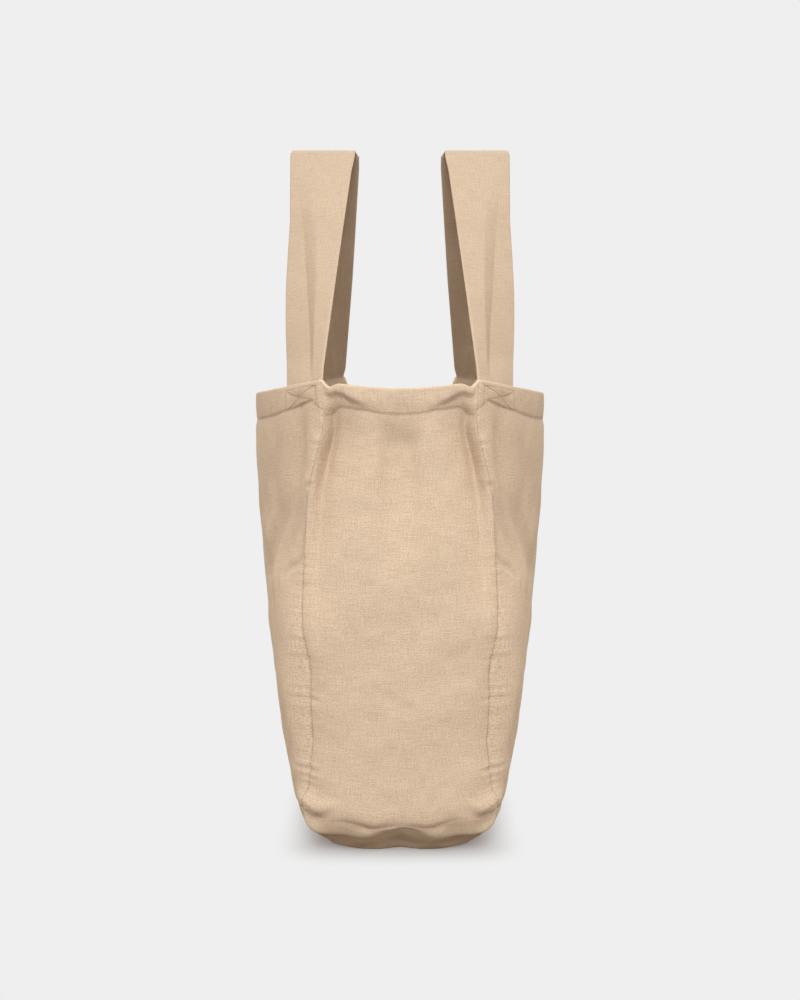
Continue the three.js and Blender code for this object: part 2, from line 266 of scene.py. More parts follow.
mouth = {
    "sagFrom": 168, "sag": 15,  # panels droop at mid-width
    "drawn": 1.4, "drawnHigh": 8,  # the hem draws the panels in along its stitch line
    "lineReach": 40,  # the cloth this far below the stitch line follows it up and down
    "grooveDepth": 0.2, "grooveWidth": 1.8,  # a wall's top edge, in the groove of the stitch line
    "foldT": 0.81, "foldInner": 0.27, "foldOuter": 0.1,  # gussets fold in beside the corners
    "foldDepth": 3, "foldMore": 9, "foldHigh": 48, "foldEnd": 150, "foldFade": 230,
    "dentDepth": 7, "dentHalf": 16, "dentTop": 410, "dentLow": 372, "dentEnd": 235,  # hollow under the hem
    "dipFrom": 320, "dip": 7.2, "dipFold": 4.6, "dipFoldT": 0.885, "dipFoldWidth": 0.08,
    "rearDip": 15, "rearDipFade": 0.13,  # the rim between the corners, in front and at the rear
    "hang": 3.8, "hangFade": 7, "hangFrom": 0.3, "hangIn": 0.36, "hangOut": 0.12,  # hem over the folds
    "hangT": [0.3, 0.42, 0.58, 0.74, 0.96], "hangHeight": [406, 408, 411.6, 416.5, 420],
    "panelLineT": [0, 0.45, 0.6, 0.8, 0.955, 0.975, 1],  # stitch line off its level, by place across
    "panelLine": [-5, -5, -3.6, 0, 4.2, -1.1, -5.7],
    "gussetLineT": [0, 0.2, 0.45, 0.8, 0.885, 0.96, 1],
    "gussetLine": [-2.2, -2, 0, 0, -2.4, -7.7, -5.7],
}


# how much the cloth at a height belongs to the hem's stitch line, 1 there and 0 well above or below
def atHemLine(z):
    below = ease((z - hemLine + mouth["lineReach"]) / mouth["lineReach"])
    return below * (1 - ease((z - hemLine) / body["hem"]))


# inset of a wall's top edge, a bell about the hem's stitch line
def hemGroove(z):
    return mouth["grooveDepth"] * bell((z - hemLine) / mouth["grooveWidth"])


panelShape = {
    "tight": 14, "tightMore": 16, "tightFrom": 300, "tightFade": 80,  # corner rounding, tighter low down
    # power of the bulge, which is less half-way up
    "full": 2, "fuller": 0.4, "fullFrom": 180, "fullRise": 100, "fullEnd": 420, "fullFall": 130,
}


# how far a wide panel stands out from its seams: a parabola, flatter beside the seams high up, and
# a tight corner rounding that takes up the seam's drift
def panelStand(t, z):
    rounding = section(sections, "panelRound", z) - section(seamDrift, "shift", z)
    flat = section(sections, "panelFlat", z) * (t**8 - t * t)
    across = np.abs(t)
    low = ease((panelShape["tightFrom"] - z) / panelShape["tightFade"])
    tight = panelShape["tight"] + panelShape["tightMore"] * low
    rise = ease((z - panelShape["fullFrom"]) / panelShape["fullRise"])
    fall = ease((panelShape["fullEnd"] - z) / panelShape["fullFall"])
    full = panelShape["full"] - panelShape["fuller"] * rise * fall
    return section(sections, "panelBulge", z) * (1 - across**full) + rounding * (1 - across**tight) + flat


cornerLead = {"flare": 7, "flareFrom": 385, "flareRise": 50, "leadFrom": 200, "leadRise": 60}


# high up a corner seam that wanders in comes forward as much, as on a round corner, and the rim's
# corners flare out; nothing at mid-width
def seamLead(t, z):
    flare = cornerLead["flare"] * ease((z - cornerLead["flareFrom"]) / cornerLead["flareRise"])
    lead = section(seamDrift, "shift", z) * ease((z - cornerLead["leadFrom"]) / cornerLead["leadRise"])
    return (flare - lead) * t**8


# wide panel: seam place and stand, less the folds; it sags at mid-width
def panelPoint(t, z, inset, side):
    groove = relief["baseGroove"] * bell((z - body["baseSeam"]) / relief["baseGrooveWidth"])
    inset = inset + seamInset(t, z, panelHalf) + groove + hemGroove(z)
    folds = foldDepth(panelFolds, panelHalf, t, z) - wallWaves("panel", t, z)
    folds = folds * (1 - np.abs(t) ** foldEnds["panel"])
    drawn = mouth["drawn"] * bell((z - hemLine) / mouth["drawnHigh"]) * (1 - t * t)
    sag = mouth["sag"] * ease((z - mouth["sagFrom"]) / (body["rim"] - mouth["sagFrom"]))
    line = np.interp(np.abs(t), mouth["panelLineT"], mouth["panelLine"]) * atHemLine(z)
    x = seamX(z) - inset + panelStand(t, z) - folds - drawn
    y = (seamY(z) + seamLead(t, z) - inset) * t
    return np.stack([side * x, y, z + lifted(t, z) - sag * (1 - t * t) + line], -1)


# fold of a gusset beside each corner: a bell, wider towards the middle, shallower up at the rim
def rimFold(across, z):
    depth = mouth["foldDepth"] + mouth["foldMore"] * ease((body["rim"] - z) / mouth["foldHigh"])
    depth = depth * ease((z - mouth["foldEnd"]) / mouth["foldFade"])
    width = np.where(across < mouth["foldT"], mouth["foldInner"], mouth["foldOuter"])
    return depth * bell((across - mouth["foldT"]) / width)


# the hem rolls out over the fold, above a line that runs down towards the middle
def hemHang(across, z):
    over = ease((z - np.interp(across, mouth["hangT"], mouth["hangHeight"])) / mouth["hangFade"])
    rolled = mouth["hang"] * over * ease((across - mouth["hangFrom"]) / mouth["hangIn"])
    return rolled * ease((1 - across) / mouth["hangOut"])


# hollow at mid-width under the hem, flat-bottomed across and fading downwards
def hemDent(x, z):
    top, low, end = (mouth[key] for key in ("dentTop", "dentLow", "dentEnd"))
    dent = ease((top - z) / (top - low)) * ease((z - end) / (low - end))
    return mouth["dentDepth"] * dent * np.exp(-((x / mouth["dentHalf"]) ** 4))


# the rim dips between the corners: in front a parabola with a notch at each fold, at the rear one long dip
def rimDip(t, z, end):
    across = np.abs(t)
    nearRim = ease((z - mouth["dipFrom"]) / (body["rim"] - mouth["dipFrom"]))
    if end > 0:
        return nearRim * mouth["rearDip"] * ease((1 - across) / mouth["rearDipFade"])
    notch = bell((across - mouth["dipFoldT"]) / mouth["dipFoldWidth"])
    notch = notch * (1 - across ** foldEnds["gusset"])
    return nearRim * (mouth["dip"] * (1 - t * t) + mouth["dipFold"] * notch)


# gusset: seam place, plus a shallow parabola, less the folds beside the corners under the rim
def gussetPoint(t, z, inset, end):
    half = seamX(z)
    away = z - body["baseSeam"]
    across = np.abs(t)
    inset = inset + seamInset(t, z, half) + baseSeamInset(t, away) + endCurl(t, away) + hemGroove(z)
    out = section(sections, "gussetBulge", z) * (1 - t * t)
    out = out + section(sections, "gussetRound", z) * (1 - t**8)
    folds = foldDepth(gussetFolds, waves["half"]["gusset"], t, z) - wallWaves("gusset", t, z)
    folds = (rimFold(across, z) - hemHang(across, z) + folds) * (1 - across ** foldEnds["gusset"])
    line = np.interp(across, mouth["gussetLineT"], mouth["gussetLine"]) * atHemLine(z)
    y = seamY(z) + seamLead(t, z) - inset + out - folds - hemDent(half * t, z)
    rise = lifted(t, z) + endRise(t) * nearBase(away)
    return np.stack([(half - inset) * t, end * y, z + rise - rimDip(t, z, end) + line], -1)


# four-sided faces between the neighbouring rows of a grid of point numbers
def faceRows(grid):
    first, second = grid[:-1], grid[1:]
    return np.stack([first[:, :-1], first[:, 1:], second[:, 1:], second[:, :-1]], -1).reshape(-1, 4)


# point numbers of a grid whose rows close into rings
def ringNumbers(rows, columns):
    index = np.arange(rows * columns).reshape(rows, columns)
    return np.concatenate([index, index[:, :1]], axis=1)


# mesh object from points in millimetres and four-sided faces, turned to face outwards
def meshPiece(name, points, faces, uv=None, sharp=50):
    corner = points[faces]
    normal = np.cross(corner[:, 2] - corner[:, 0], corner[:, 3] - corner[:, 1])
    if (corner.mean(axis=1) * normal).sum() < 0:
        faces = faces[:, ::-1]
    mesh = bpy.data.meshes.new(name)
    mesh.vertices.add(len(points))
    mesh.vertices.foreach_set("co", (points * mm).astype(np.float32).ravel())
    mesh.loops.add(faces.size)
    mesh.loops.foreach_set("vertex_index", faces.astype(np.int32).ravel())
    mesh.polygons.add(len(faces))
    mesh.polygons.foreach_set("loop_start", np.arange(0, faces.size, 4, dtype=np.int32))
    mesh.polygons.foreach_set("use_smooth", np.ones(len(faces), bool))
    if uv is not None:
        layer = mesh.uv_layers.new(name="clothMetres")
        layer.data.foreach_set("uv", (uv[faces.ravel()] * mm).astype(np.float32).ravel())
    mesh.update(calc_edges=True)
    mesh.validate()
    mesh.set_sharp_from_angle(angle=math.radians(sharp))
    piece = bpy.data.objects.new(name, mesh)
    bpy.context.collection.objects.link(piece)
    return piece


# closed wall of cloth between an outer and an inner grid, with the cloth's own flat measure as UV
def clothWall(name, outer, inner, uv):
    rows, columns = outer.shape[:2]
    front = np.arange(rows * columns).reshape(rows, columns)
    back = front + rows * columns
    rim = [np.stack([front[0], back[0]]), np.stack([back[-1], front[-1]]),
           np.stack([back[:, 0], front[:, 0]]), np.stack([front[:, -1], back[:, -1]])]
    faces = np.concatenate([faceRows(front), faceRows(back)[:, ::-1]]
                           + [faceRows(edge)[:, ::-1] for edge in rim])
    points = np.concatenate([outer.reshape(-1, 3), inner.reshape(-1, 3)])
    return meshPiece(name, points, faces, np.tile(uv.reshape(-1, 2), (2, 1)))


walls = {
    "rows": 190, "panelColumns": 170, "gussetColumns": 110,
    "bySeam": np.array([0, 0.35, 0.7, 1.1, 1.6, 2.3, 3.2]), "inside": 4.5,  # columns off a seam, in mm
    "pieces": [
        # piece, node it stands for, surface, side, columns, half width
        ("gussetFront", "gusset_front", gussetPoint, -1, "gussetColumns", gussetHalf),
        ("gussetRear", "gusset_rear", gussetPoint, 1, "gussetColumns", gussetHalf),
        ("panelLeft", "panel_left", panelPoint, -1, "panelColumns", panelHalf),
        ("panelRight", "panel_right", panelPoint, 1, "panelColumns", panelHalf),
    ],
}


# places across a wall from -1 to 1, close together beside the seams
def acrossWall(half, count):
    edge = walls["bySeam"] / half
    first = walls["inside"] / half
    return np.concatenate([edge - 1, np.linspace(-1 + first, 1 - first, count), 1 - edge[::-1]])


# the four walls, from the base seam up to the hem's stitch line
def makeWalls():
    made = {}
    z = np.linspace(body["baseSeam"], hemLine, walls["rows"])[:, None]
    for name, node, surface, side, columns, half in walls["pieces"]:
        tt, zz = np.broadcast_arrays(acrossWall(half, walls[columns])[None, :], z)
        outer, inner = surface(tt, zz, 0, side), surface(tt, zz, body["cloth"], side)
        piece = clothWall(name, outer, inner, np.stack([tt * half, zz], -1))
        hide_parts(node)
        2 * half * mm
        made[name] = piece
    return made


base = {
    "rows": 170, "columns": 120, "crowd": 1.6,  # rows and columns crowd towards the seam
    "flat": (0.24, 0.45),  # the cut cloth, in metres
    "mitre": 1.5, "farOff": 40,  # how softly the ends change over to the sides at a corner
    "reach": 34, "tuck": 5.0, "tuckWidth": 0.12,  # seam to where the cloth lies flat
    "lip": 19, "lipSlope": 0.4, "lipGap": 0.37, "sideLip": 0.6,  # cloth that hangs from the seam
    "lipTurn": 5, "turnIn": 4, "turnOut": 15,  # and then turns under
    "lipCorner": 0.55, "cornerReach": 16,  # lower at the corners
    "boxLift": 4.5, "boxReach": 62, "boxFade": 35,  # the boxed corners lift off the floor
    "boxFrom": 5, "boxRise": 10,
    "wrinkle": 0.8, "wrinkleSize": 24, "wrinkleSeed": 31, "wrinkleIn": 3, "wrinkleOut": 10,
    "wrinkleHalf": (100, 200), "foldReach": 6,
}


# base: flat inside; from the seam a sloping lip, then an underside down to the floor, the two lines
# joined by a hyperbola; the folds of the ends run on into the lip
def basePoint(a, b, inset):
    seam = np.full(np.shape(a), body["baseSeam"])
    rounded = section(sections, "gussetRound", seam) * (1 - a**8)
    stand = section(sections, "gussetBulge", seam) * (1 - a * a) + rounded - endCurl(a, 0)
    halfX = seamX(seam) - inset + panelStand(b, seam)
    halfY = seamY(seam) - inset + stand
    inX, inY = halfX * (1 - abs(a)), halfY * (1 - abs(b))
    near, far = np.minimum(inX, inY), np.maximum(inX, inY)
    drawn = pinch(near, far)
    onEnd = 1 / (1 + np.exp(np.clip((inY - inX) / base["mitre"], -base["farOff"], base["farOff"])))
    onSide = base["sideLip"] + (1 - base["sideLip"]) * b**8
    lip = base["lip"] * ((1 - bell(a / base["lipGap"])) * onEnd + onSide * (1 - onEnd))
    lip = lip * (1 - base["lipCorner"] * bell(far / base["cornerReach"]))
    edge = base["lipSlope"] * lip
    top = body["baseSeam"] + body["cornerLift"] * (a * b) ** 6 + endRise(a) * b**6 * onEnd
    reach = base["reach"] + base["tuck"] * bell(a / base["tuckWidth"]) * onEnd
    under = (top - lip) * np.maximum(1 - (near - edge) / (reach - edge), 0)
    front = top - near / base["lipSlope"]
    turn = base["lipTurn"] * ease(near / base["turnIn"]) * ease((reach - near) / base["turnOut"])
    height = (front + under + np.sqrt((front - under) ** 2 + turn**2)) / 2
    boxed = base["boxLift"] * ease((base["boxReach"] - inX) / base["boxFade"])
    boxed = boxed * ease((base["boxReach"] - inY) / base["boxFade"])
    boxed = boxed * ease((near - base["boxFrom"]) / base["boxRise"])
    fade = ease(near / base["wrinkleIn"]) * ease((reach - near) / base["wrinkleOut"])
    wideX, wideY = base["wrinkleHalf"]
    wrinkle = undulation(a * wideX, b * wideY, base["wrinkleSize"], base["wrinkleSeed"])
    wrinkle = base["wrinkle"] * wrinkle * fade
    folds = foldDepth(gussetFolds, waves["half"]["gusset"], a, seam)
    folds = folds * (1 - np.abs(a) ** foldEnds["gusset"]) * bell(inY / base["foldReach"])
    shiftY = (wrinkle - baseSeamInset(a, inY) - folds) * onEnd
    groove = relief["baseGroove"] * bell(inX / relief["baseGrooveWidth"])
    shiftX = (wrinkle - groove) * (1 - onEnd)
    return np.stack([a * (halfX - drawn) + np.sign(a) * shiftX, b * (halfY - drawn) + np.sign(b) * shiftY,
                     inset + (top - inset) * height / top + boxed], -1)


# the base; its UV runs on up the rolled cloth by its height
def makeBase():
    spread = [np.linspace(-1, 1, base[key]) for key in ("columns", "rows")]
    a, b = np.meshgrid(*(np.sign(s) * (1 - (1 - abs(s)) ** base["crowd"]) for s in spread))
    outer = basePoint(a, b, 0)
    up = outer[..., 2]
    uv = outer[..., :2] + np.stack([np.sign(a) * a**8 * up, np.sign(b) * b**8 * up], -1)
    piece = clothWall("baseCloth", outer, basePoint(a, b, body["cloth"]), uv)
    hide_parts("base_panel")
    return piece


hem = {
    "proud": 0.3, "inside": 2.5,  # faces of the folded hem, from the wall's outer face
    "length": 1.1,  # round the mouth, in metres
    "topRound": 1.6, "turnSteps": 7, "panelColumns": 230, "gussetColumns": 90,
    "lowRows": [0, 0.5, 1.0, 1.6, 2.4], "rowsUp": (3.4, 20, 1.2), "innerRows": [14, 7, 0],
    "rope": 0.4, "ropeLengths": (6.1, 8.3, 11.9, 15.7), "ropeSeed": 41, "ropeSlant": 0.6,
    "puff": 1.4, "puffHigh": 14, "stitchUp": 0.9, "stitchGroove": 0.5, "grooveWidth": 0.7,
}


# the hem's section: up the outer face, over a round top and down the inner face
def hemProfile():
    top = body["hem"] - hem["topRound"]
    up = np.concatenate([hem["lowRows"], np.arange(*hem["rowsUp"]), [top]])
    turn = np.linspace(0, np.pi, hem["turnSteps"])[1:-1]
    middle, half = (hem["inside"] - hem["proud"]) / 2, (hem["inside"] + hem["proud"]) / 2
    down = np.array([top, *hem["innerRows"]])
    height = np.concatenate([up, top + hem["topRound"] * np.sin(turn), down])
    inset = np.concatenate([up * 0 - hem["proud"], middle - half * np.cos(turn), down * 0 + hem["inside"]])
    outside = np.concatenate([up * 0 + 1, np.cos(turn) * 0.5 + 0.5, down * 0])
    return height, inset, outside


strapBox = {"low": 0.9, "high": 18.0, "from": 5.5, "to": 52.5, "puff": 0.8}  # stitched over each strap end


# cloth puffed up in the four fields of a strap's stitched box: the root of a product of sines that is
# nothing along its edges and its crossed lines
def boxPuff(t, up):
    p = ((1 - np.abs(t)) * panelHalf - strapBox["from"]) / (strapBox["to"] - strapBox["from"])
    r = (up - strapBox["low"]) / (strapBox["high"] - strapBox["low"])
    p, r = np.clip(p, 0, 1), np.clip(r, 0, 1)
    crossed = np.abs(np.sin(np.pi * (p - r)) * np.sin(np.pi * (p + r)))
    return strapBox["puff"] * np.sqrt(crossed * np.sin(np.pi * p) * np.sin(np.pi * r))


# one wall's stretch of the hem at t, puffed, with roping across it and a groove along its stitch line
def hemPoint(surface, t, up, inset, outside, side):
    along = t * (panelHalf if surface is panelPoint else gussetHalf)
    fade = 1 - np.abs(t) ** 12
    if surface is panelPoint:
        inset = inset - boxPuff(t, up) * outside
    else:
        inset = inset - hem["puff"] * np.sin(np.pi / 2 * np.clip(up / hem["puffHigh"], 0, 1)) * fade
    rope = hem["rope"] * ripples(along + hem["ropeSlant"] * up, hem["ropeLengths"], hem["ropeSeed"])
    rope = rope * np.sin(np.pi * up / body["hem"])
    groove = hem["stitchGroove"] * bell((up - hem["stitchUp"]) / hem["grooveWidth"])
    return surface(t, hemLine + up, inset + (groove - rope * fade) * outside, side)


# the hem is one ring: its section carried along the four walls in turn
def makeHem():
    up, inset, outside = (x[:, None] for x in hemProfile())
    panelT = acrossWall(panelHalf, hem["panelColumns"])[:-1]
    gussetT = acrossWall(gussetHalf, hem["gussetColumns"])[:-1]
    parts, flat = [], []
    stretches = [(panelPoint, panelT, 1, panelHalf), (gussetPoint, -gussetT, 1, gussetHalf),
                 (panelPoint, -panelT, -1, panelHalf), (gussetPoint, gussetT, -1, gussetHalf)]
    start = 0
    for surface, t, side, half in stretches:
        t2, up2, inset2, out2 = np.broadcast_arrays(t[None, :], up, inset, outside)
        parts.append(hemPoint(surface, t2, up2, inset2, out2, side))
        flat.append(np.stack([start + half + np.sign(t[-1]) * t2 * half, hemLine + up2], -1))
        start += 2 * half
    points, uv = np.concatenate(parts, axis=1), np.concatenate(flat, axis=1)
    index = ringNumbers(*points.shape[:2])
    faces = faceRows(np.concatenate([index, index[:1]]))
    piece = meshPiece("rimHem", points.reshape(-1, 3), faces, uv.reshape(-1, 2))
    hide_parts("rim_hem")
    return piece


strap = {
    "width": 65.0, "foot": 57.0, "top": 656.8, "tail": 19.0, "apexX": 77.5, "loopRadius": 9.0,
    "cloth": 2.0, "clear": 3.0, "hemInside": 3.0,  # clear of the corner seam, and inside the hem
    "columns": 60, "tailRows": 8, "legRows": 96, "loopRows": 16, "footSteps": 4001,
    "edgeColumns": np.array([0, 0.003, 0.009, 0.018]), "edgeShare": 0.03, "edgeThin": 0.97,
    "bowOuter": 3.5, "bowOuterEnd": 0.7, "bowOuterFade": 0.1,  # outer edges away from straight
    "bowFoot": 0.4, "bowFootRise": 0.06, "bowMore": 0.6, "bowRise": 0.5,  # inner edges, from the foot up
    "stepIn": 0.12, "stepEnd": 0.95, "stepOut": 0.5, "stepPower": 1.2,
    "sagBack": 0.85, "sagDown": 0.53,
    "wave": 0.5, "waveWide": 64, "waveLong": 260, "waveSize": 55, "waveSeed": 51, "waveFade": 0.1,
    "roundFrom": 0.95, "roundWide": 0.05, "roundDrop": 4.5,  # the loop's outer edge droops
    "weaveShift": 300,  # each strap has a stretch of weave of its own
}
strapLegs = {  # inner edge away from straight, its share kept at the top, the fold's set-back and the sag
    "front": {"inner": -1.2, "atTop": 0.0, "fade": 0.1, "step": 9.0, "sag": 0.0},
    "rear": {"inner": 4.2, "atTop": 0.85, "fade": 0.05, "step": 1.5, "sag": 16.0},
}
strapFold = {  # the fold's soft bend and crisp crease across the strap, at shares of the leg's length
    "share": [0, 0.08, 0.22, 0.44, 0.65, 0.754, 1],
    "bend": [0.2, 0.24, 0.285, 0.362, 0.482, 0.566, 0.7],
    "crease": [0.27, 0.31, 0.40, 0.563, 0.709, 0.795, 0.9],
}


# places of the strap's end along the rim, spaced evenly on the cloth from near the corner seam
def strapFeet(w):
    t = np.linspace(-1, 0, strap["footSteps"])
    half, bulge = seamY(body["rim"]), section(sections, "panelBulge", body["rim"])
    arc = np.concatenate([[0], np.cumsum(np.diff(t) * half * np.hypot(1, 2 * bulge * t[1:] / half))])
    return np.interp(strap["clear"] + w * strap["foot"], arc, t)


# the loop: an arc about a line along X; below the top its inner edge spreads towards the bag's middle,
# and its outer edge droops as a quarter circle
def loopPoint(w, angle, radius, side, centreZ, spread):
    x = side * (strap["apexX"] + (w - 0.5) * strap["width"] - spread * (1 - w))
    edge = np.clip((w - strap["roundFrom"]) / strap["roundWide"], 0, 1)
    droop = strap["roundDrop"] * (1 - np.sqrt(1 - edge * edge)) * np.sin(angle) ** 2
    y, z = radius * np.cos(angle), centreZ + radius * np.sin(angle) - droop
    return np.stack(np.broadcast_arrays(x, y, z), -1)


# one face of a leg: a straight line from its foot on the rim to the loop, plus the fold's step, bowed
# edges, soft waves and a sag like a sine that leans towards the foot
def legRows(w, q, depth, side, bow, meet, centreZ):
    foot = panelPoint(strapFeet(w), np.full(np.shape(w), body["rim"]), strap["hemInside"] + depth, side)
    head = loopPoint(w, meet, strap["loopRadius"] - depth, side, centreZ, 0)
    bend = np.interp(q, strapFold["share"], strapFold["bend"])
    crease = np.interp(q, strapFold["share"], strapFold["crease"])
    step = np.clip((w - bend) / (crease - bend), 0, 1) ** strap["stepPower"]
    back = bow["step"] * ease(q / strap["stepIn"]) * ease((strap["stepEnd"] - q) / strap["stepOut"])
    atTop = bow["atTop"] + (1 - bow["atTop"]) * ease((1 - q) / bow["fade"])
    atFoot = strap["bowFoot"] * ease(q / strap["bowFootRise"])
    atFoot = atFoot + strap["bowMore"] * np.minimum(q / strap["bowRise"], 1)
    inward = bow["inner"] * atFoot * (1 - w) * atTop
    outward = strap["bowOuter"] * np.sin(np.pi * np.minimum(q / strap["bowOuterEnd"], 1)) * w
    outward = outward * ease((1 - q) / strap["bowOuterFade"])
    wide, long = w * strap["waveWide"], q * strap["waveLong"]
    soft = strap["wave"] * undulation(wide, long, strap["waveSize"], strap["waveSeed"])
    soft = soft * ease(q / strap["waveFade"]) * ease((1 - q) / strap["waveFade"])
    sag = bow["sag"] * np.sin(np.pi * q) * (1 - q)
    shift = side * (outward - inward)
    bent = np.stack([shift, strap["sagBack"] * sag + back * step - soft, -strap["sagDown"] * sag], -1)
    return foot + (head - foot) * q[..., None] + bent


# one half of a strap from its tail up to the top of the loop, thinner along its edges
def strapHalf(side, end, bow, inner):
    edge, share = strap["edgeColumns"], strap["edgeShare"]
    w = np.concatenate([edge, np.linspace(share, 1 - share, strap["columns"]), 1 - edge[::-1]])[None, :]
    near = np.clip((share - np.minimum(w, 1 - w)) / share, 0, 1)
    thin = 0.5 * strap["cloth"] * (1 - np.sqrt(1 - strap["edgeThin"] * near * near))
    depth = strap["cloth"] - thin if inner else thin
    centreZ = strap["top"] - strap["loopRadius"]
    foot = panelPoint(strapFeet(np.array(0.5)), np.array(body["rim"]), strap["hemInside"], side)
    toFoot = math.atan2(foot[2] - centreZ, foot[1]) + 2 * math.pi
    meet = toFoot - math.acos(strap["loopRadius"] / math.hypot(foot[1], foot[2] - centreZ))
    z = np.linspace(body["rim"] - strap["tail"], body["rim"], strap["tailRows"], endpoint=False)[:, None]
    w2, z2, d2 = np.broadcast_arrays(w, z, depth)
    tail = panelPoint(strapFeet(w2), z2, strap["hemInside"] + d2, side)
    q = np.linspace(0, 1, strap["legRows"])[:, None]
    w2, q2, d2 = np.broadcast_arrays(w, q, depth)
    leg = legRows(w2, q2, d2, side, bow, meet, centreZ)
    angle = np.linspace(meet, np.pi / 2, strap["loopRows"])[1:, None]
    w2, angle2, d2 = np.broadcast_arrays(w, angle, depth)
    spread = bow["inner"] * bow["atTop"] * (1 - np.sin(angle2)) / (1 - math.sin(meet))
    loop = loopPoint(w2, angle2, strap["loopRadius"] - d2, side, centreZ, spread)
    half = np.concatenate([tail, leg, loop])
    return half * np.array([1, -end, 1]), np.broadcast_to(w, half.shape[:2])


# length along a row of points from its start, as the sum of the steps between them
def lengthAlong(points):
    return np.concatenate([[0], np.cumsum(np.linalg.norm(np.diff(points, axis=0), axis=1))])


# a strap: its front half up to the loop, then its rear half down again
def makeStrap(name, node, side):
    faces = []
    for inner in (False, True):
        near, w = strapHalf(side, -1, strapLegs["front"], inner)
        far, _ = strapHalf(side, 1, strapLegs["rear"], inner)
        faces.append(np.concatenate([near, far[-2::-1]]))
    outer, inner = faces
    length = lengthAlong(outer[:, outer.shape[1] // 2])
    across = np.concatenate([w, w[-2::-1]]) * strap["width"]
    along = np.broadcast_to(length[:, None], across.shape)
    uv = np.stack([across + side * strap["weaveShift"], along], -1)
    piece = clothWall(name, outer, inner, uv)
    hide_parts(node)
    print(name, "length %.0f mm" % length[-1])
    return piece


stitch = {
    "pitch": 3.4, "length": 2.6, "thread": 0.85, "high": 0.35, "lift": 0.2,
    "round": 6, "sharp": 80, "weaveLong": 60,
    "stations": np.array([-0.5, -0.38, 0.0, 0.38, 0.5]),  # along one stitch, and its girth there
    "girth": np.array([0.25, 0.8, 1.0, 0.8, 0.25]),
    "hemEnd": 0.985, "hemSteps": 900, "boxSteps": 120,
    "stepT": 0.002, "stepUp": 0.3,  # steps over which the cloth's normal is measured
}
seamThread = {"pitch": 3.1, "deep": -0.35, "size": 0.7, "above": 6, "below": 2, "facing": (0.5, 0.87)}


# vectors of length one
def unit(v):
    return v / np.linalg.norm(v, axis=-1, keepdims=True)


# what is left of one row of vectors at right angles to another row of length one
def square(v, to):
    return unit(v - to * (v * to).sum(axis=-1, keepdims=True))


# rows of places, directions and normals, each of the three put end to end
def joined(rows):
    return [np.concatenate(x) for x in zip(*rows)]


# many stitches in one mesh: a small rounded bar laid along each place's direction
def stitchRows(name, places, ways, normals, size=1.0):
    ring = np.linspace(0, 2 * np.pi, stitch["round"], endpoint=False)
    stations, girth = stitch["stations"], stitch["girth"][:, None, None]
    across = np.cross(normals, ways)
    wide, high = np.cos(ring)[None, :, None], np.sin(ring)[None, :, None]
    bar = size * (stations[:, None, None] * stitch["length"] * ways[:, None, None, :]
                  + girth * wide * stitch["thread"] / 2 * across[:, None, None, :]
                  + girth * high * stitch["high"] * normals[:, None, None, :])
    points = (places[:, None, None, :] + bar).reshape(-1, 3)
    count = len(stations) * len(ring)
    cap = np.array([[0, 1, 2, 3], [0, 3, 4, 5]])
    caps = np.concatenate([cap, cap[:, ::-1] + count - len(ring)])
    single = np.concatenate([faceRows(ringNumbers(len(stations), len(ring))), caps[:, ::-1]])
    faces = (single[None] + count * np.arange(len(places))[:, None, None]).reshape(-1, 4)
    uv = np.stack([np.linspace(0, stitch["weaveLong"], len(points)), np.zeros(len(points))], -1)
    return meshPiece(name, points, faces, uv, stitch["sharp"])


# places, directions and normals along a line on the hem's outer face, spaced by the stitch's pitch
def hemLineStitches(surface, side, t, up):
    def on(dt, dUp):
        place = np.full(np.shape(t), -hem["proud"])
        return hemPoint(surface, t + dt, up + dUp, place, np.ones(np.shape(t)), side)

    line = on(0, 0)
    length = lengthAlong(line)
    at = np.arange(stitch["pitch"] / 2, length[-1], stitch["pitch"])

    def pick(grid):
        return np.stack([np.interp(at, length, grid[:, k]) for k in range(3)], -1)

    stepT, stepUp = stitch["stepT"], stitch["stepUp"]
    way = unit(pick(np.gradient(line, axis=0)))
    normal = unit(pick(np.cross(on(stepT, 0) - on(-stepT, 0), on(0, stepUp) - on(0, -stepUp))))
    outward = np.zeros(3)
    outward[0 if surface is panelPoint else 1] = side
    normal = normal * np.sign(normal @ outward)[:, None]
    return pick(line) + normal * stitch["lift"], square(way, normal), normal


# places, directions and normals of stitches down the four corner seams
def seamStitches():
    low, high = body["baseSeam"] + seamThread["above"], hemLine - seamThread["below"]
    z = np.arange(low, high, seamThread["pitch"])
    facingX, facingY = seamThread["facing"]
    rows = []
    for side in (-1, 1):
        for end in (-1, 1):
            place = panelPoint(end * np.ones(len(z)), z, seamThread["deep"], side)
            way = unit(np.gradient(place, axis=0))
            rows.append((place, way, square(np.array([side * facingX, end * facingY, 0]), way)))
    return joined(rows)


